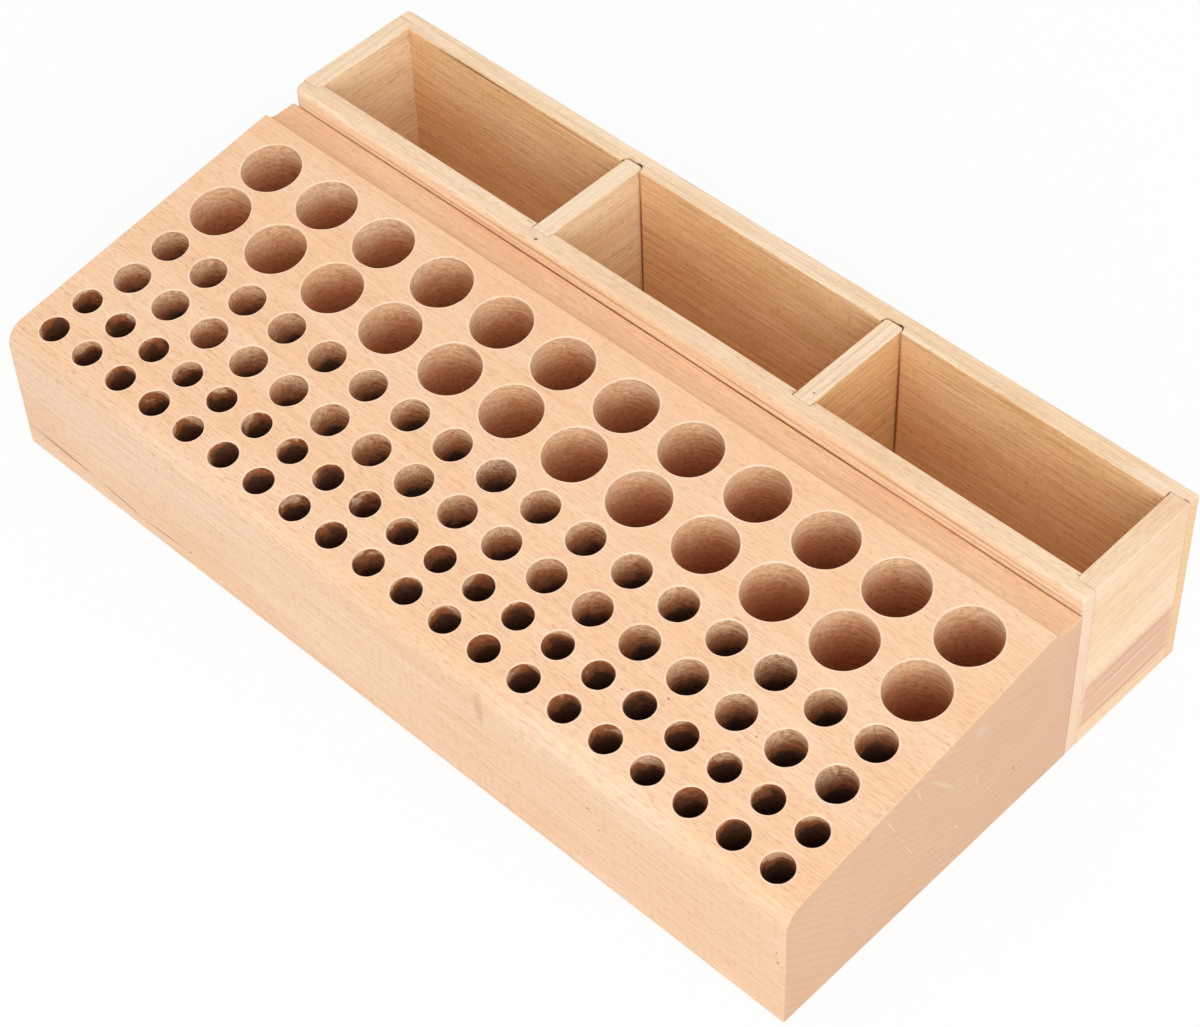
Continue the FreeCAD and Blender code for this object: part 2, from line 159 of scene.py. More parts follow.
class Shell:
    """Points, faces and finishes of a piece while it is put together."""

    def __init__(self):
        self.points = []
        self.faces = []
        self.finishes = []
        self.flats = []

    def point(self, place):
        """Add a point given in millimetres, and return its number."""
        self.points.append(Vector(place) * MM)
        return len(self.points) - 1

    def face(self, corners, finish, flat=False):
        """Add a face. A flat one is shaded by its own plane, even where it meets a rounded edge."""
        self.faces.append(tuple(corners))
        self.finishes.append(finish)
        self.flats.append(flat)

    def band(self, first, second, finish, flat=False):
        """Quads between two closed loops with as many points each."""
        for here in range(len(first)):
            after = (here + 1) % len(first)
            self.face((first[here], first[after], second[after], second[here]), finish, flat)

    def piece(self, name, body, materials):
        """The finished piece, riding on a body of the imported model."""
        mesh = bpy.data.meshes.new(name)
        mesh.from_pydata(self.points, [], self.faces)
        for material in materials:
            mesh.materials.append(material)
        mesh.polygons.foreach_set("material_index", self.finishes)
        mesh.shade_smooth()
        mesh.set_sharp_from_angle(angle=SMOOTH_BELOW)
        normals = []
        for polygon, flat in zip(mesh.polygons, self.flats):
            shaded = polygon.normal.copy() if flat else Vector()
            normals += [shaded] * polygon.loop_total
        mesh.normals_split_custom_set(normals)
        made = bpy.data.objects.new(name, mesh)
        bpy.context.scene.collection.objects.link(made)
        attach(made, body)
        return made


def sockets():
    """Every socket as row, place in the row, x, distance up the slope and radius."""
    for row, (diameter, spacing, count, reach, _) in enumerate(ROWS):
        for place in range(count):
            yield row, place, (place - (count - 1) / 2) * spacing, reach, diameter / 2


def mouth_widths(chance, corners):
    """Width of the worn edge all round one mouth: it wanders a little, as cut fibres leave it."""
    waves = []
    for turns in MOUTH_WAVES:
        waves.append((turns, chance.uniform(0.0, 2 * math.pi), chance.uniform(*MOUTH_WAVE_SHARES)))
    widths = []
    for corner in range(corners):
        turn = 2 * math.pi * corner / corners
        wander = sum(share * math.sin(turns * turn + start) for turns, start, share in waves) / len(waves)
        widths.append(MOUTH_EASING * (1.0 + MOUTH_WANDER * wander))
    return widths


def add_ends(shell):
    """Both end faces with their eased edges. Returns the outline's points where the long faces begin."""
    outline = side_view()
    rims = []
    for side in (-1, 1):
        rings = []
        for step in range(END_EASING_STEPS + 1):
            turn = math.pi / 2 * step / END_EASING_STEPS
            x = side * (HALF_LENGTH - END_EASING + END_EASING * math.sin(turn))
            narrowed = inset(outline, END_EASING * (1.0 - math.cos(turn)))
            rings.append([shell.point((x, y, z)) for y, z in narrowed])
        for outer, inner in zip(rings, rings[1:]):
            first, second = (outer, inner) if side > 0 else (inner, outer)
            shell.band(first, second, PLANED)
        shell.face(rings[-1] if side > 0 else reversed(rings[-1]), PLANED, flat=True)
        rims.append(rings[0])
    return rims


def add_long_faces(shell, left, right):
    """Faces from the lower limit of the drilled top round the front, the foot and the back to the ridge."""
    count = len(left)
    for here in range(1 + ROUND_STEPS_DRILLED, count):
        after = (here + 1) % count
        finish = COVED if here >= count - COVE_STEPS - REAR_STEPS - 1 else PLANED
        corners = (left[here], left[after], right[after], right[here])
        height = (shell.points[left[here]] - shell.points[left[after]]).length / MM
        shell.face(corners, finish, height > FLAT_ABOVE)


def add_drilled_top(shell, left, right):
    """The slanted face and the top of its front round, pierced by the mouths. Returns sockets with mouths."""
    chance = random.Random(SEED)
    half = HALF_LENGTH - END_EASING
    places, owners, limits = [], [], []

    def mark(x, reach, owner=None):
        """Add a place of the flattened top, with a point of its own or one that is already there."""
        places.append(Vector((x, reach)))
        owners.append(shell.point(on_slope(x, reach, round_drop(reach))) if owner is None else owner)
        return len(places) - 1

    turns = [(math.pi / 2 - SLOPE) * step / ROUND_STEPS for step in range(ROUND_STEPS_DRILLED + 1)]
    reaches = [RIDGE_REACH] + [ROUND_REACH - FRONT_TOP_ROUND * math.sin(turn) for turn in turns]
    down_left = [mark(-half, reach, owner) for reach, owner in zip(reaches, left)]
    down_right = [mark(half, reach, owner) for reach, owner in zip(reaches, right)]
    limits.append(down_left + down_right[::-1])

    drilled = []
    for row, place, x, reach, radius in sockets():
        widths = mouth_widths(chance, max(FEWEST_CORNERS, round(2 * math.pi * radius / CHORD)))
        loops = []
        for spread in (RIM_WIDTH, 0.0):
            loop = []
            for corner, width in enumerate(widths):
                turn = 2 * math.pi * corner / len(widths)
                outer = radius + width + spread
                loop.append(mark(x + outer * math.cos(turn), reach + outer * math.sin(turn)))
            loops.append([owners[corner] for corner in loop])
            if spread:
                limits.append(loop)
        shell.band(*loops, RIM, flat=reach - radius - RIM_WIDTH - 2 * MOUTH_EASING > ROUND_REACH)
        drilled.append((row, place, x, reach, radius, widths, loops[1]))

    def is_clear(x, reach, gap):
        """Whether a place is farther than this gap from the wall of every socket."""
        for _, _, middle, up, radius, _, _ in drilled:
            if math.hypot(x - middle, reach - up) <= radius + gap:
                return False
        return True

    # Points along the rounded strip keep its curve between the mouths of the first row.
    for reach in reaches[1:-1]:
        for step in range(1, int(2 * half / ROUND_POINT_SPACING)):
            x = -half + step * ROUND_POINT_SPACING
            if is_clear(x, reach, RIM_WIDTH + MOUTH_EASING + MOUTH_CLEARANCE):
                mark(x, reach)

    # A triangle that lies in a mouth as well as in the outer limit is left open.
    inside_limits = 1
    _, _, triangles, sources, _, areas = delaunay_2d_cdt(places, [], limits, inside_limits, SAME_POINT)
    for triangle, area in zip(triangles, areas):
        if len(area) > 1:
            continue
        corners = [sources[corner][0] for corner in triangle]
        first, second, third = [places[corner] for corner in corners]
        if (second - first).cross(third - first) < 0:
            corners.reverse()
        on_plane = min(first.y, second.y, third.y) > ROUND_REACH - ROUND_MARGIN
        shell.face([owners[corner] for corner in corners], PLANED, on_plane)
    return drilled


def add_sockets(shell, drilled):
    """Worn edge, wall and flat floor of every socket."""
    for row, place, x, reach, radius, widths, mouth in drilled:
        finish = TORN if (row, place) in TORN_SOCKETS else ROWS[row][4]
        above = mouth
        for step in range(WALL_STEPS + 1):
            ring = []
            for corner, width in enumerate(widths):
                turn = 2 * math.pi * corner / len(widths)
                up = reach + radius * math.sin(turn)
                top = round_drop(up) + width
                depth = top + (SOCKET_DEPTH - top) * step / WALL_STEPS
                ring.append(shell.point(on_slope(x + radius * math.cos(turn), up, depth)))
            shell.band(above, ring, finish if step else RIM)
            above = ring
        shell.face(above, finish, flat=True)


def make_block(materials):
    """The drilled block as the one piece of wood that it is, in place of the nodes that divide it."""
    shell = Shell()
    left, right = add_ends(shell)
    add_long_faces(shell, left, right)
    add_sockets(shell, add_drilled_top(shell, left, right))
    block = shell.piece("drilled_block", "rack", materials)
    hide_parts(*BLOCK_NODES)


# Torn fibres left standing at mouths: x, distance up the slope, direction in the slope, length, width, curl.
SPLINTERS = [
    (-6.2, 22.5, 8.0, 2.9, 0.5, 75.0),
    (-17.6, 11.75, -12.0, 2.0, 0.4, 60.0),
    (-30.6, 11.85, 5.0, 1.6, 0.35, 50.0),
]
SPLINTER_STEPS = 8
SPLINTER_THICKNESS = 0.09
SPLINTER_ROOT = 0.05
SPLINTER_TAPER = 0.8


def make_splinters(material):
    """Curled slivers, each a thin tapering strip that lifts off the surface."""
    shell = Shell()
    for x, reach, direction, length, width, curl in SPLINTERS:
        turn = math.radians(direction)
        along = Vector((math.cos(turn), math.sin(turn)))
        across = Vector((-along.y, along.x))
        run, lift = 0.0, -SPLINTER_ROOT
        rings = []
        for step in range(SPLINTER_STEPS + 1):
            share = step / SPLINTER_STEPS
            half_width = width / 2 * (1.0 - SPLINTER_TAPER * share)
            ring = []
            for side, rise in ((-1, 0.0), (1, 0.0), (1, SPLINTER_THICKNESS), (-1, SPLINTER_THICKNESS)):
                spot = along * run + across * side * half_width
                ring.append(shell.point(on_slope(x + spot.x, reach + spot.y, -lift - rise)))
            rings.append(ring)
            slant = math.radians(curl) * share
            run += length / SPLINTER_STEPS * math.cos(slant)
            lift += length / SPLINTER_STEPS * math.sin(slant)
        for first, second in zip(rings, rings[1:]):
            shell.band(second, first, PLANED)
        shell.face(rings[0], PLANED)
        shell.face(reversed(rings[-1]), PLANED)
    shell.piece("torn_fibres", "rack", [material])


# Numbered sockets of a Mix node set to colour.
FACTOR, FIRST, SECOND = 0, 6, 7
MIXED = 2


def linear(colour):
    """Shader colour for an sRGB hex value."""
    channels = [int(colour[start:start + 2], 16) / 255 for start in (1, 3, 5)]
    curved = [value / 12.92 if value <= 0.04045 else ((value + 0.055) / 1.055) ** 2.4 for value in channels]
    return (*curved, 1.0)


def add(tree, kind, inputs=None, output=0, **settings):
    """Add a node with its settings, set or link its inputs, and return one of its outputs."""
    node = tree.nodes.new("ShaderNode" + kind)
    for name, value in settings.items():
        setattr(node, name, value)
    for key, value in (inputs or {}).items():
        if isinstance(value, bpy.types.NodeSocket):
            tree.links.new(value, node.inputs[key])
        else:
            node.inputs[key].default_value = value
    return node.outputs[output]


def streaks(tree, board, length, width, detail=2.0):
    """Soft noise drawn out along the grain into streaks of about this length and width."""
    squeeze = (1 / length, 1 / width, 1 / width)
    squeezed = add(tree, "VectorMath", {0: board, 1: squeeze}, operation="MULTIPLY")
    return add(tree, "TexNoise", {"Vector": squeezed, "Scale": 1.0, "Detail": detail}, output="Fac")


# For marks on a face: the two axes that they are measured along, the axis they turn about, and which way.
MARKED_FACES = {
    "end": (1, 2, 0, 1.0),
    "front": (0, 2, 1, -1.0),
    "top": (0, 1, 2, 1.0),
}
MARK_DEPTH = 1.2
SOFT_EDGE = 0.45
CRISP_EDGE = 0.93


def scratch(face, level, start, stop, width, colour, strength):
    """Thin straight mark on a face at this level, from one place on it to another."""
    first, second, across, way = MARKED_FACES[face]
    centre, half_sizes, turns = [0.0] * 3, [MARK_DEPTH] * 3, [0.0] * 3
    centre[first] = (start[0] + stop[0]) / 2
    centre[second] = (start[1] + stop[1]) / 2
    centre[across] = level
    half_sizes[first] = math.hypot(stop[0] - start[0], stop[1] - start[1]) / 2
    half_sizes[second] = width / 2
    turns[across] = way * math.atan2(stop[1] - start[1], stop[0] - start[0])
    return centre, half_sizes, turns, colour, strength, SOFT_EDGE, False


def speck(centre, half_sizes, colour, strength, edge=SOFT_EDGE):
    """Round spot."""
    return centre, half_sizes, [0.0] * 3, colour, strength, edge, False


def patch(centre, half_sizes, colour, strength):
    """Square patch with crisp edges."""
    return centre, half_sizes, [0.0] * 3, colour, strength, CRISP_EDGE, True


# Sanded beech: a pale peach with faint growth rings, fine streaks along the grain, short darker flecks, which
# are the wood's rays cut lengthwise, and a slightly duller end grain. Streaks have a length and a width.
# Flecks are really about 0.1 mm wide; they are drawn at 0.2 mm or more, because a finer one would not show.
# The colours side, top and outside are painted light: casts laid over upright faces, level faces and faces
# that look outwards, for the shade and bounced light that fall on them. Each stage of painted depth shade has
# the depth where it begins, the depth where it is full, and its cast.
BEECH = {
    "grain_turn": 0.0,
    "shift": (0.0, 0.0, 0.0),
    "pith": (0.0, 28.0, 137.0),
    "lean": (1.0, 0.012, -0.02),
    "ring_width": 2.3,
    "wave_size": (160.0, 30.0),
    "wave_depth": 7.0,
    "blotch_size": (60.0, 12.0),
    "fibre_size": (16.0, 0.45),
    "fleck_size": (2.2, 0.22),
    "pale": "#FBD9B9",
    "warm": "#F8D0AC",
    "late": "#DFA97C",
    "fleck": "#BF8258",
    "end": "#C99F7F",
    # Casts of painted light on upright, level and outward faces; white paints none.
    "side": "#FFFFFF",
    "top": "#FFFFFF",
    "outwards": (),
    "outside": "#FFFFFF",
    "late_share": 0.14,
    "late_share_end": 0.46,
    "fibre_share": 0.28,
    "fleck_share": 0.32,
    "top_share": 1.0,
    "outside_share": 0.4,
    "end_share": 0.6,
    "roughness": (0.5, 0.68),
    "bump": 0.3,
    "scorch": (),
    "scorch_size": (8.0, 6.0),
    "scorch_wander": 12.0,
    "torn": 0.0,
    "marks": (),
}
ALONG_Y = math.radians(-90.0)
# Where each pattern of the wood begins to show and where it shows in full, as values of its noise or facing.
CUT_FROM, CUT_FULL = 0.5, 0.95
BLOTCH_FROM, BLOTCH_FULL = 0.35, 0.65
FIBRE_FROM, FIBRE_FULL = 0.42, 0.72
FLECK_FROM, FLECK_FULL = 0.57, 0.74
TORN_FROM, TORN_FULL = 0.48, 0.66
GLOSS_FROM, GLOSS_FULL = 0.3, 0.7
NOISE_MIDDLE = 0.5
RING_SHARPNESS = 2.5
TORN_SIZE = (1.4, 0.6)
# How far each pattern stands out of the surface or sinks into it, as shares of the relief's depth.
RELIEF_DEPTH = 0.1
FLECK_RELIEF = -0.6
RING_RELIEF = -0.25
TORN_RELIEF = 6.0


def beech(name, **changes):
    """Beech with its pattern running right through the wood, so that faces and sockets cut the same rings."""
    look = {**BEECH, **changes}
    material = bpy.data.materials.new(name)
    material.use_nodes = True
    tree = material.node_tree
    shader = tree.nodes["Principled BSDF"]
    place = add(tree, "TexCoord", output="Object")
    place = add(tree, "VectorMath", {0: place, "Scale": 1 / MM}, operation="SCALE")
    turn = (0.0, 0.0, look["grain_turn"])
    board = add(tree, "Mapping", {"Vector": place, "Location": look["shift"], "Rotation": turn})

    # Growth rings: waved cylinders round a leaning pith, each darkening slowly to its late edge.
    wave = streaks(tree, board, *look["wave_size"])
    from_pith = add(tree, "VectorMath", {0: board, 1: look["pith"]}, operation="SUBTRACT")
    off_line = add(tree, "VectorMath", {0: from_pith, 1: look["lean"]}, operation="CROSS_PRODUCT")
    radius = add(tree, "VectorMath", {0: off_line}, output="Value", operation="LENGTH")
    waved = add(tree, "Math", {0: wave, 1: look["wave_depth"], 2: radius}, operation="MULTIPLY_ADD")
    turns = add(tree, "Math", {0: waved, 1: look["ring_width"]}, operation="DIVIDE")
    late = add(tree, "Math", {0: turns}, operation="FRACT")
    late = add(tree, "Math", {0: late, 1: RING_SHARPNESS}, operation="POWER")

    # How far a face cuts across the grain, and how far it stands upright.
    normal = add(tree, "NewGeometry", output="Normal")
    cuts = []
    for axis in ((0.0, 1.0, 0.0) if look["grain_turn"] else (1.0, 0.0, 0.0), (0.0, 0.0, 1.0)):
        facing = add(tree, "VectorMath", {0: normal, 1: axis}, output="Value", operation="DOT_PRODUCT")
        facing = add(tree, "Math", {0: facing}, operation="ABSOLUTE")
        facing = {"Value": facing, "From Min": CUT_FROM, "From Max": CUT_FULL}
        cuts.append(add(tree, "MapRange", facing, interpolation_type="SMOOTHSTEP"))
    end, level = cuts
    if look["outwards"]:
        outer = {0: normal, 1: look["outwards"]}
        outer = add(tree, "VectorMath", outer, output="Value", operation="DOT_PRODUCT")

    blotch = streaks(tree, board, *look["blotch_size"])
    blotch = {"Value": blotch, "From Min": BLOTCH_FROM, "From Max": BLOTCH_FULL}
    blotch = add(tree, "MapRange", blotch, interpolation_type="SMOOTHSTEP")
    tone = {FACTOR: blotch, FIRST: linear(look["pale"]), SECOND: linear(look["warm"])}
    tone = add(tree, "Mix", tone, output=MIXED, data_type="RGBA")

    share = {"Value": end, "To Min": look["late_share"], "To Max": look["late_share_end"]}
    share = add(tree, "Math", {0: late, 1: add(tree, "MapRange", share)}, operation="MULTIPLY")
    tone = {FACTOR: share, FIRST: tone, SECOND: linear(look["late"])}
    tone = add(tree, "Mix", tone, output=MIXED, data_type="RGBA")

    fibre = streaks(tree, board, *look["fibre_size"], detail=3.0)
    calm = add(tree, "MapRange", {"Value": level, "To Min": 1.0, "To Max": look["top_share"]})
    if look["outwards"]:
        quiet = add(tree, "MapRange", {"Value": outer, "To Min": 1.0, "To Max": look["outside_share"]})
        calm = add(tree, "Math", {0: calm, 1: quiet}, operation="MULTIPLY")
    share = {"Value": fibre, "From Min": FIBRE_FROM, "From Max": FIBRE_FULL, "To Max": look["fibre_share"]}
    share = add(tree, "Math", {0: add(tree, "MapRange", share), 1: calm}, operation="MULTIPLY")
    tone = {FACTOR: share, FIRST: tone, SECOND: linear(look["late"])}
    tone = add(tree, "Mix", tone, output=MIXED, data_type="RGBA")

    fleck = streaks(tree, board, *look["fleck_size"], detail=0.0)
    fleck = {"Value": fleck, "From Min": FLECK_FROM, "From Max": FLECK_FULL}
    fleck = add(tree, "MapRange", fleck, interpolation_type="SMOOTHSTEP")
    share = add(tree, "Math", {0: fleck, 1: look["fleck_share"]}, operation="MULTIPLY")
    share = add(tree, "Math", {0: share, 1: calm}, operation="MULTIPLY")
    tone = {FACTOR: share, FIRST: tone, SECOND: linear(look["fleck"])}
    tone = add(tree, "Mix", tone, output=MIXED, data_type="RGBA")

    # End grain takes its own cast. Upright faces and level faces take casts of painted light.
    share = add(tree, "Math", {0: end, 1: look["end_share"]}, operation="MULTIPLY")
    tone = {FACTOR: share, FIRST: tone, SECOND: linear(look["end"])}
    tone = add(tree, "Mix", tone, output=MIXED, data_type="RGBA")
    side = linear(look["side"])
    if look["outwards"]:
        side = {FACTOR: outer, FIRST: side, SECOND: linear(look["outside"])}
        side = add(tree, "Mix", side, output=MIXED, data_type="RGBA")
    painted_light = {FACTOR: level, FIRST: side, SECOND: linear(look["top"])}
    painted_light = add(tree, "Mix", painted_light, output=MIXED, data_type="RGBA")
    tone = {FACTOR: 1.0, FIRST: tone, SECOND: painted_light}
    tone = add(tree, "Mix", tone, output=MIXED, data_type="RGBA", blend_type="MULTIPLY")

    # Painted shade down the sockets: each stage from one depth to another below the slanted plane, and
    # uneven.
    if look["scorch"]:
        below = add(tree, "VectorMath", {0: on_slope(0.0, 0.0), 1: place}, operation="SUBTRACT")
        below = add(tree, "VectorMath", {0: below, 1: SOCKET_AXIS}, output="Value", operation="DOT_PRODUCT")
        uneven = streaks(tree, board, *look["scorch_size"], detail=3.0)
        uneven = add(tree, "Math", {0: uneven, 1: NOISE_MIDDLE}, operation="SUBTRACT")
        below = add(tree, "Math", {0: uneven, 1: look["scorch_wander"], 2: below}, operation="MULTIPLY_ADD")
    for start, full, colour in look["scorch"]:
        share = {"Value": below, "From Min": start, "From Max": full}
        share = add(tree, "MapRange", share, interpolation_type="SMOOTHSTEP")
        tone = {FACTOR: share, FIRST: tone, SECOND: linear(colour)}
        tone = add(tree, "Mix", tone, output=MIXED, data_type="RGBA", blend_type="MULTIPLY")

    height = add(tree, "Math", {0: fleck, 1: FLECK_RELIEF, 2: fibre}, operation="MULTIPLY_ADD")
    height = add(tree, "Math", {0: late, 1: RING_RELIEF, 2: height}, operation="MULTIPLY_ADD")

    # Walls where the cutter tore the fibres: pale and dark specks of about half a millimetre.
    if look["torn"]:
        ragged = streaks(tree, board, *TORN_SIZE, detail=3.0)
        share = {"Value": ragged, "From Min": TORN_FROM, "From Max": TORN_FULL, "To Max": look["torn"]}
        tone = {FACTOR: add(tree, "MapRange", share), FIRST: tone, SECOND: linear(look["fleck"])}
        tone = add(tree, "Mix", tone, output=MIXED, data_type="RGBA")
        rough = {0: ragged, 1: TORN_RELIEF * look["torn"], 2: height}
        height = add(tree, "Math", rough, operation="MULTIPLY_ADD")

    # Single marks, each an ellipsoid or a box in the wood.
    for centre, half_sizes, turns, colour, strength, edge, square in look["marks"]:
        spot = {"Vector": place, "Location": centre, "Rotation": turns, "Scale": half_sizes}
        spot = add(tree, "Mapping", spot, vector_type="TEXTURE")
        if square:
            spot = add(tree, "VectorMath", {0: spot}, operation="ABSOLUTE")
            sides = add(tree, "SeparateXYZ", {0: spot}).node.outputs
            spot = add(tree, "Math", {0: sides[0], 1: sides[1]}, operation="MAXIMUM")
            spot = add(tree, "Math", {0: spot, 1: sides[2]}, operation="MAXIMUM")
        else:
            spot = add(tree, "VectorMath", {0: spot}, output="Value", operation="LENGTH")
        share = {"Value": spot, "From Min": 1.0, "From Max": edge, "To Max": strength}
        tone = {FACTOR: add(tree, "MapRange", share), FIRST: tone, SECOND: linear(colour)}
        tone = add(tree, "Mix", tone, output=MIXED, data_type="RGBA")

    low, high = look["roughness"]
    roughness = {"Value": fibre, "From Min": GLOSS_FROM, "From Max": GLOSS_FULL}
    roughness.update({"To Min": low, "To Max": high})
    relief = {"Height": height, "Strength": look["bump"], "Distance": RELIEF_DEPTH * MM}
    tree.links.new(tone, shader.inputs["Base Color"])
    tree.links.new(add(tree, "MapRange", roughness), shader.inputs["Roughness"])
    tree.links.new(add(tree, "Bump", relief), shader.inputs["Normal"])
    return material


# Marks that the photograph shows on the block.
BRUISE = "#FBEFE0"
KNOT = "#8A4516"
LINE = "#B98560"
# Painted shade in joints between parts.
JOINT_SHADE = "#9A5616"
SPLIT = "#6A3610"
# Painted shade in gaps.
GAP_SHADE = "#3A2415"
STAIN = "#D08A50"
# Partly warmer wood, partly painted shade and bounced light near the tray wall.
WARMTH_AND_BOUNCE = "#F3C096"
BLOCK_MARKS = [
    scratch("end", HALF_LENGTH, (-37.5, 41.9), (-33.4, 32.7), 0.35, BRUISE, 0.4),
    scratch("end", HALF_LENGTH, (-33.6, 32.1), (-30.2, 25.5), 0.3, BRUISE, 0.35),
    scratch("end", HALF_LENGTH, (-30.4, 25.3), (-27.0, 18.4), 0.35, BRUISE, 0.45),
    scratch("end", HALF_LENGTH, (-27.5, 42.4), (-25.5, 35.9), 0.6, BRUISE, 0.35),
    scratch("end", HALF_LENGTH, (-24.0, 41.9), (-13.0, 27.9), 1.3, BRUISE, 0.2),
    scratch("end", HALF_LENGTH, (-6.3, 26.9), (-5.8, 20.9), 0.4, BRUISE, 0.4),
    scratch("end", HALF_LENGTH, (-8.0, 45.5), (17.0, 37.9), 0.6, LINE, 0.35),
    # Painted shade in the joint with the tray, down the right end.
    scratch("end", HALF_LENGTH, (27.2, -4.0), (27.2, 52.0), 0.7, JOINT_SHADE, 0.55),
    speck((HALF_LENGTH, -6.0, 41.4), (MARK_DEPTH, 2.4, 3.6), BRUISE, 0.15, 0.2),
    speck((HALF_LENGTH, 7.3, 15.2), (MARK_DEPTH, 0.4, 0.7), KNOT, 0.7),
    speck((HALF_LENGTH, -12.2, 13.2), (MARK_DEPTH, 0.5, 0.5), BRUISE, 0.6),
    speck((HALF_LENGTH, -42.7, 39.9), (MARK_DEPTH, 0.5, 0.9), KNOT, 0.4),
    scratch("front", FRONT_Y, (-125.0, 7.2), (-97.0, 5.7), 0.9, KNOT, 0.7),
    scratch("front", FRONT_Y, (-99.0, 5.8), (-80.0, 3.6), 0.8, KNOT, 0.65),
    scratch("front", FRONT_Y, (-82.0, 3.5), (-63.0, 5.0), 0.7, KNOT, 0.6),
    scratch("front", FRONT_Y, (36.5, 25.4), (35.6, 37.9), 4.0, LINE, 0.3),
    speck((-64.0, FRONT_Y, 4.9), (0.6, MARK_DEPTH, 0.4), KNOT, 0.7),
    speck((68.7, FRONT_Y, 24.7), (0.5, MARK_DEPTH, 0.4), KNOT, 0.7),
    speck((72.0, FRONT_Y, 19.7), (0.4, MARK_DEPTH, 0.4), KNOT, 0.6),
    speck((122.6, FRONT_Y, 24.5), (0.4, MARK_DEPTH, 0.5), KNOT, 0.6),
    speck((123.0, FRONT_Y, 21.1), (0.5, MARK_DEPTH, 0.5), KNOT, 0.7),
    speck(on_slope(70.8, 23.8), (0.6, 0.35, MARK_DEPTH), KNOT, 0.6),
    speck(on_slope(91.7, 28.5), (0.5, 0.3, MARK_DEPTH), KNOT, 0.6),
    speck(on_slope(61.3, 19.3), (0.6, 0.3, MARK_DEPTH), KNOT, 0.6),
    speck(on_slope(69.0, 48.0), (1.5, 0.7, MARK_DEPTH), STAIN, 0.6),
    # Warmer towards the ridge: partly the wood's own tone, partly painted shade and light bounced off the
    # tray wall behind it.
    speck(on_slope(0.0, 90.0), (260.0, 75.0, 14.0), WARMTH_AND_BOUNCE, 0.35, 0.0),
]
# Painted shade along the seam behind the ledge, thicker towards the right and broken once: from x, to x,
# width, strength.
SEAM_SHADE_Y = 27.3
SEAM_SHADE_STRETCHES = [
    (-140.0, -50.0, 0.5, 0.8),
    (-70.0, 30.0, 0.6, 0.75),
    (10.0, 80.0, 0.8, 0.95),
    (81.0, 140.0, 0.8, 0.95),
]
LEDGE_MARKS = [scratch("top", LEDGE_HEIGHT, (start, SEAM_SHADE_Y), (stop, SEAM_SHADE_Y), width, JOINT_SHADE, strength)
               for start, stop, width, strength in SEAM_SHADE_STRETCHES]

# Walls of the sockets, cut across the grain: rings close together, and frayed fibres as soft dark streaks.
DRILLED_WALL = {
    "pale": "#FDD9B0",
    "warm": "#F6C89C",
    "late": "#9A6238",
    "ring_width": 1.9,
    "wave_size": (50.0, 8.0),
    "wave_depth": 6.0,
    "late_share": 0.32,
    "late_share_end": 0.32,
    "fibre_size": (9.0, 0.9),
    "fibre_share": 0.75,
    "fleck": "#7A4420",
    "fleck_size": (6.0, 0.4),
    "fleck_share": 0.45,
    "end": "#EFC9A2",
    "end_share": 0.3,
    "roughness": (0.6, 0.75),
    "bump": 0.6,
}
# Painted shade down a socket, deepening in two stages.
SOCKET_SHADE = ((1.0, 7.0, "#DFB8A0"), (7.0, 11.0, "#8995B3"))
BLOCK_MATERIALS = [
    # Flat-sawn and sanded: the light catches it evenly, and the flecks read as fine dashes; its level faces
    # take a faint warm painted cast, a little darker than its upright faces.
    beech("beech_sanded_block", top="#FFFAF4", fibre_share=0.35, fleck_share=0.37, marks=BLOCK_MARKS),
    # Drilled with a small bit: painted shade, almost black below a pale lip.
    beech("beech_drilled_small", scorch=((0.2, 1.5, "#C19375"), (2.3, 5.2, "#A4ABBC")), scorch_wander=18.0,
          **DRILLED_WALL),
    # Drilled with a middling bit: painted shade, darker towards the bottom.
    beech("beech_drilled_medium", scorch=SOCKET_SHADE, **DRILLED_WALL),
    # Bored clean with a large cutter: pale, with the rings showing as arcs, and a light painted shade
    # deepening towards the bottom.
    beech("beech_bored_large", scorch=((0.0, 12.5, "#E7C2AB"),),
          **{**DRILLED_WALL, "pale": "#FFDDB6", "warm": "#FACEA4", "fibre_share": 0.5, "late_share": 0.2,
             "fleck_share": 0.25}),
    # Drilled against the fibres: rough and speckled, with the painted shade down the socket of the middling
    # bit.
    beech("beech_drilled_torn", **{**DRILLED_WALL, "scorch": SOCKET_SHADE, "fleck": "#6E3F20",
                                   "torn": 0.55, "roughness": (0.7, 0.85), "bump": 1.0}),
    # Moulded ledge, cove and rear round: a little more orange than the sanded top, partly the wood's own tone
    # and partly painted shade and bounced light from the tray wall above it.
    beech("beech_moulded_ledge_painted_shade", pale="#FAD1AA", warm="#F4C49A", late="#D09468", fibre_share=0.4,
          marks=LEDGE_MARKS),
    # Edge of a mouth, a small chamfer: painted paler than the top, as a painted highlight along it, with
    # calmer grain.
    beech("beech_rim_painted_highlight", pale="#FFDFC2", warm="#FFDABA", fibre_share=0.15, fleck_share=0.1),
]

# Sanded boards of the tray, each with its own stretch of grain, paler than the block.
BOARD = {
    "pale": "#FCDFBE",
    "warm": "#F5D1AB",
    "late": "#D9A576",
    "end": "#F1D6BD",
    "fibre_size": (14.0, 0.45),
    "fibre_share": 0.35,
    "late_share": 0.18,
}
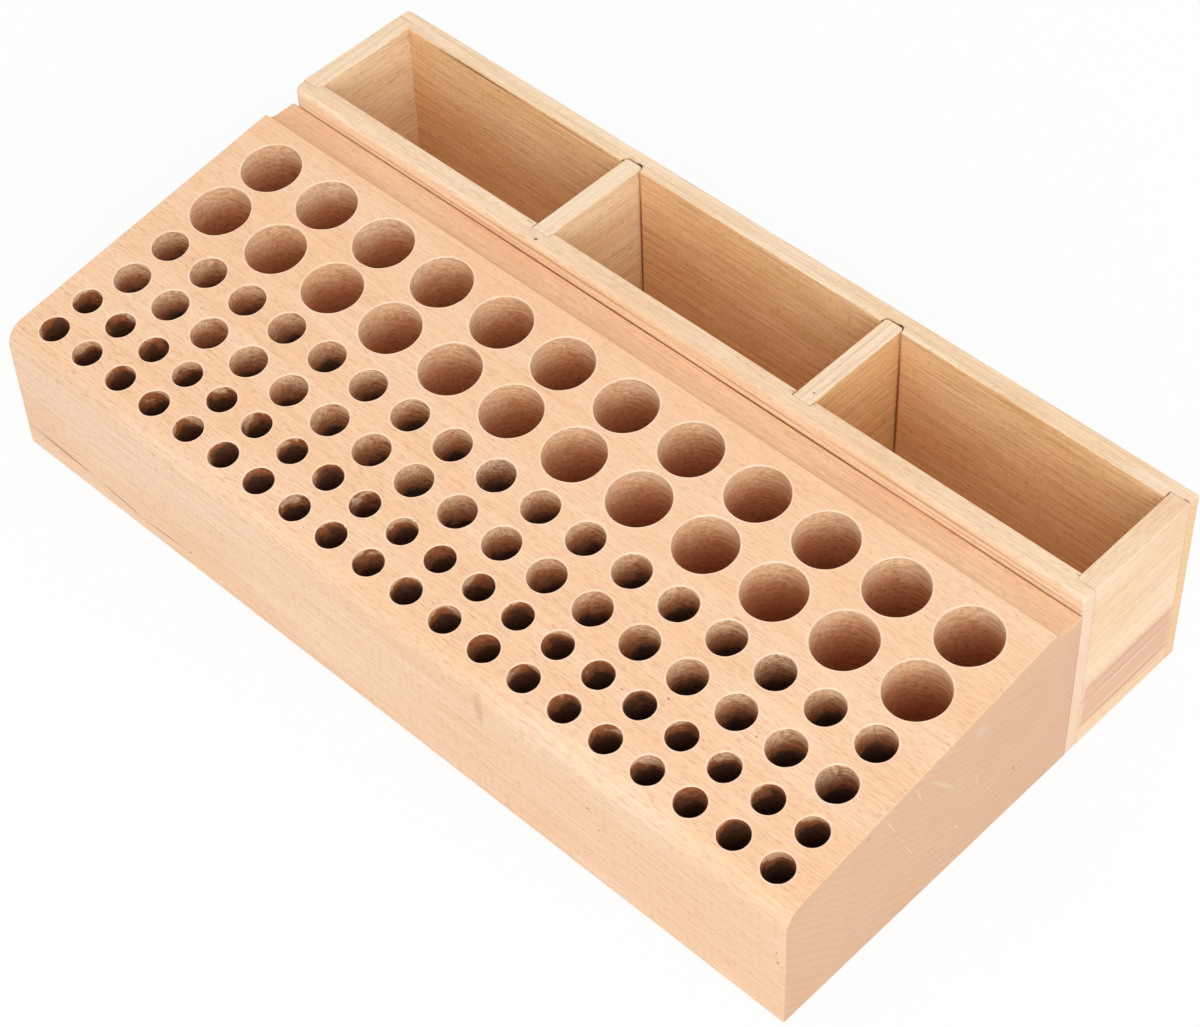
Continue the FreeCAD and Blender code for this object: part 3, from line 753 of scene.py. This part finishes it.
# Boards whose wide faces show inside the tray: there a golden painted cast on their upright faces stands for
# the shade and light bounced inside the tray, and short dark dashes run along the grain.
INNER_SHADED = {
    **BOARD,
    "pale": "#FFE5C6",
    "warm": "#FADAB3",
    "late": "#C08C5A",
    "fleck": "#84491A",
    "end": "#F6DEC8",
    "side": "#FBEDD5",
    "fleck_size": (2.0, 0.2),
    "fleck_share": 0.32,
    "fibre_share": 0.55,
    "top_share": 0.6,
}
# The left end and the left divider are paler and calmer: a lighter painted cast, as more light falls on them.
INNER_LIT = {**INNER_SHADED, "side": "#FFFDF6", "fibre_share": 0.35, "fleck_share": 0.28}

# Marks that the photograph shows on the tray.
TRAY_TOP = 54.0
TRAY_REAR_FACE = 62.8
TRAY_END = 124.8
DIVIDER_SIDES = (-38.2, 44.4)
DIVIDER_OFFSET = 41.3
RED = "#E2B496"
RED_DARK = "#C48C6E"
# A split along the rear wall's upper edge, and the joint with the right end.
REAR_MARKS = [
    scratch("front", TRAY_REAR_FACE, (-113.0, 53.5), (-73.0, 53.1), 0.6, SPLIT, 0.95),
    scratch("front", TRAY_REAR_FACE, (-77.0, 53.1), (-44.0, 52.8), 0.35, SPLIT, 0.8),
    scratch("top", TRAY_TOP, (119.4, 62.5), (119.4, 65.1), 0.5, KNOT, 0.8),
    scratch("top", TRAY_TOP, (122.3, 65.0), (125.0, 65.0), 0.5, KNOT, 0.7),
]
# Painted shade: brown lines in the corners beside the dividers, and dark gaps behind them.
REAR_MARKS += [scratch("front", TRAY_REAR_FACE, (x, 0.0), (x, 60.0), 1.0, JOINT_SHADE, 0.95) for x in DIVIDER_SIDES]
for middle in (-DIVIDER_OFFSET, DIVIDER_OFFSET):
    REAR_MARKS.append(scratch("top", TRAY_TOP, (middle - 3.1, 62.4), (middle - 2.2, 64.4), 0.8, GAP_SHADE, 0.8))
    REAR_MARKS.append(scratch("top", TRAY_TOP, (middle - 0.4, 64.5), (middle + 2.9, 64.8), 0.7, GAP_SHADE, 0.9))
# Painted shade along the seam with the ledge, broken streaks on the strip above the ledge, the joints along
# the front wall's top, and painted shade in the gap at the left divider's front end.
FRONT_MARKS = [
    scratch("front", SEAM_Y, (-150.0, 48.9), (150.0, 48.9), 0.5, JOINT_SHADE, 0.8),
    scratch("front", SEAM_Y, (-140.0, 50.3), (-20.0, 50.1), 0.9, LINE, 0.5),
    scratch("front", SEAM_Y, (-75.0, 52.0), (10.0, 51.8), 1.1, LINE, 0.6),
    scratch("front", SEAM_Y, (5.0, 50.9), (60.0, 50.7), 1.1, LINE, 0.55),
    scratch("front", SEAM_Y, (45.0, 52.1), (125.0, 51.8), 1.1, LINE, 0.6),
    scratch("front", SEAM_Y, (70.0, 50.4), (140.0, 50.2), 0.9, LINE, 0.5),
    scratch("top", TRAY_TOP, (118.3, 32.4), (121.4, 32.2), 0.45, KNOT, 0.7),
    speck((-40.4, 29.0, TRAY_TOP), (0.65, 0.45, MARK_DEPTH), GAP_SHADE, 0.9),
]
FRONT_MARKS += [scratch("top", TRAY_TOP, (x - 1.3, 32.4), (x + 1.3, 32.4), 0.45, KNOT, 0.65)
                for x in (-45.7, 38.2, 44.1)]
# Darker heartwood along the foot of the right end, with pale and dark lines.
RIGHT_MARKS = [
    patch((TRAY_END, 48.3, 12.3), (MARK_DEPTH, 16.5, 7.4), RED, 0.92),
    scratch("end", TRAY_END, (28.0, 17.5), (70.0, 18.5), 1.6, RED_DARK, 0.35),
    scratch("end", TRAY_END, (28.0, 14.5), (70.0, 14.8), 0.8, RED_DARK, 0.5),
    scratch("end", TRAY_END, (28.0, 5.6), (70.0, 5.8), 0.8, RED_DARK, 0.5),
    scratch("end", TRAY_END, (28.0, 13.3), (70.0, 13.5), 0.5, BRUISE, 0.6),
    scratch("end", TRAY_END, (28.0, 7.2), (70.0, 7.4), 0.5, BRUISE, 0.6),
]
BOARD_MATERIALS = {
    "tray_front_wall": beech("beech_sanded_front_wall", shift=(300.0, 40.0, 15.0), marks=FRONT_MARKS,
                             **BOARD),
    "tray_rear_wall": beech("beech_sanded_rear_wall", shift=(700.0, -60.0, 35.0), outwards=(0.0, 1.0, 0.0),
                            marks=REAR_MARKS, **INNER_SHADED),
    "tray_left_end": beech("beech_sanded_left_end", grain_turn=ALONG_Y, shift=(90.0, 250.0, 70.0),
                           outwards=(-1.0, 0.0, 0.0),
                           **INNER_LIT),
    "tray_right_end": beech("beech_sanded_right_end", grain_turn=ALONG_Y, shift=(170.0, 20.0, 90.0),
                            marks=RIGHT_MARKS, **{**BOARD, "fibre_size": (40.0, 0.6), "fleck_share": 0.25}),
    "tray_floor": beech("beech_sanded_floor_panel", shift=(420.0, 130.0, 60.0), **BOARD),
    "left_divider": beech("beech_sanded_left_divider", grain_turn=ALONG_Y, shift=(260.0, 90.0, 40.0),
                          **INNER_LIT),
    # The right divider: a deeper golden painted cast on its upright faces.
    "right_divider": beech("beech_sanded_right_divider", grain_turn=ALONG_Y, shift=(510.0, -30.0, 20.0),
                           marks=[speck((42.0, 35.1, TRAY_TOP), (0.45, 0.35, MARK_DEPTH), KNOT, 0.8)],
                           **{**INNER_SHADED, "side": "#F4E2C2"}),
}

# Freshly torn wood fibre: almost white, dull and stringy.
TORN_FIBRE = beech("beech_torn_fibre", pale="#F7E6CF", warm="#EFD9BB", late="#E3C7A2", fleck="#D9B58C",
                   roughness=(0.75, 0.9))

make_block(BLOCK_MATERIALS)
make_splinters(TORN_FIBRE)
for node, material in BOARD_MATERIALS.items():
    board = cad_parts[node]
    board.data.materials.clear()
    board.data.materials.append(material)

# White sweep under and behind the rack. Rays from the camera, and those that mirror or pass through, see it
# as nearly even white with a trace of the shadow; all other rays see a pale matt sheet.
FLOOR_HALF = 4.0
FLOOR_LEVEL = -0.3
SHADOW_SHARE = 0.14
PAPER = "#FFFFFF"
CARD = "#DADAD8"
DOME_STRENGTH = 0.82


def seen_directly(tree):
    """1 for rays that show the background itself: camera, mirror and see-through rays."""
    names = ("Is Camera Ray", "Is Glossy Ray", "Is Transmission Ray")
    camera, mirror, through = [add(tree, "LightPath", output=name) for name in names]
    either = add(tree, "Math", {0: camera, 1: mirror}, operation="MAXIMUM")
    return add(tree, "Math", {0: either, 1: through}, operation="MAXIMUM")


def make_floor():
    """Matt paper sheet that throws little light back on the rack."""
    signs = ((-1, -1), (1, -1), (1, 1), (-1, 1))
    corners = [(x * FLOOR_HALF, y * FLOOR_HALF, FLOOR_LEVEL * MM) for x, y in signs]
    mesh = bpy.data.meshes.new("floor")
    mesh.from_pydata(corners, [], [(0, 1, 2, 3)])
    floor = bpy.data.objects.new("floor", mesh)
    bpy.context.scene.collection.objects.link(floor)
    material = bpy.data.materials.new("paper_sheet")
    material.use_nodes = True
    tree = material.node_tree
    tree.nodes.remove(tree.nodes["Principled BSDF"])
    seen = seen_directly(tree)
    paper = add(tree, "Mix", {FACTOR: seen, FIRST: linear(CARD), SECOND: linear(PAPER)}, output=MIXED,
                data_type="RGBA")
    sheet = add(tree, "BsdfDiffuse", {"Color": paper})
    white = add(tree, "Emission", {"Strength": 1.0})
    share = add(tree, "Math", {0: seen, 1: 1.0 - SHADOW_SHARE}, operation="MULTIPLY")
    shown = add(tree, "MixShader", {0: share, 1: sheet, 2: white})
    tree.links.new(shown, tree.nodes["Material Output"].inputs["Surface"])
    mesh.materials.append(material)


def make_world():
    """Even white dome, pure white where it is seen directly."""
    world = bpy.data.worlds.new("studio")
    world.use_nodes = True
    tree = world.node_tree
    strength = {"Value": seen_directly(tree), "To Min": DOME_STRENGTH, "To Max": 1.0}
    tree.links.new(add(tree, "MapRange", strength), tree.nodes["Background"].inputs["Strength"])
    tree.nodes["Background"].inputs["Color"].default_value = linear(PAPER)
    bpy.context.scene.world = world


def aim(item, place, forward, up):
    """Put a camera or lamp at a place, looking along forward with up towards its top."""
    back = -Vector(forward).normalized()
    right = Vector(up).cross(back).normalized()
    turn = Matrix((right, back.cross(right), back)).transposed().to_4x4()
    item.matrix_world = Matrix.Translation(Vector(place)) @ turn


def make_lamp(name, place, size_m, watts):
    """Large soft box aimed at the rack."""
    lamp = bpy.data.lights.new(name, "AREA")
    lamp.shape = "SQUARE"
    lamp.size = size_m
    lamp.energy = watts
    item = bpy.data.objects.new(name, lamp)
    bpy.context.scene.collection.objects.link(item)
    aim(item, place, -Vector(place), (0.0, 0.0, 1.0))


# The key lamp: place and size in metres.
KEY_PLACE = (1.26, -0.97, 0.85)
KEY_SIZE = 1.4
KEY_WATTS = 16.0

# The photograph's view: place in metres, direction, up, and lens on a sensor of the usual width.
CAMERA_PLACE = (0.34874, -0.33291, 0.55641)
CAMERA_FORWARD = (-0.47403, 0.461492, -0.749881)
CAMERA_UP = (-0.503393, 0.5567, 0.660819)
CAMERA_LENS = 91.72
SENSOR_WIDTH = 36.0


def make_camera():
    """The camera that took the photograph, as far as its lines tell."""
    camera = bpy.data.cameras.new("view")
    camera.sensor_fit = "HORIZONTAL"
    camera.sensor_width = SENSOR_WIDTH
    camera.lens = CAMERA_LENS
    item = bpy.data.objects.new("view", camera)
    bpy.context.scene.collection.objects.link(item)
    aim(item, CAMERA_PLACE, CAMERA_FORWARD, CAMERA_UP)
    bpy.context.scene.camera = item


make_floor()
make_world()
make_lamp("key_box", KEY_PLACE, KEY_SIZE, KEY_WATTS)
make_camera()
bpy.context.scene.view_settings.view_transform = "Standard"

bpy.context.view_layer.update()
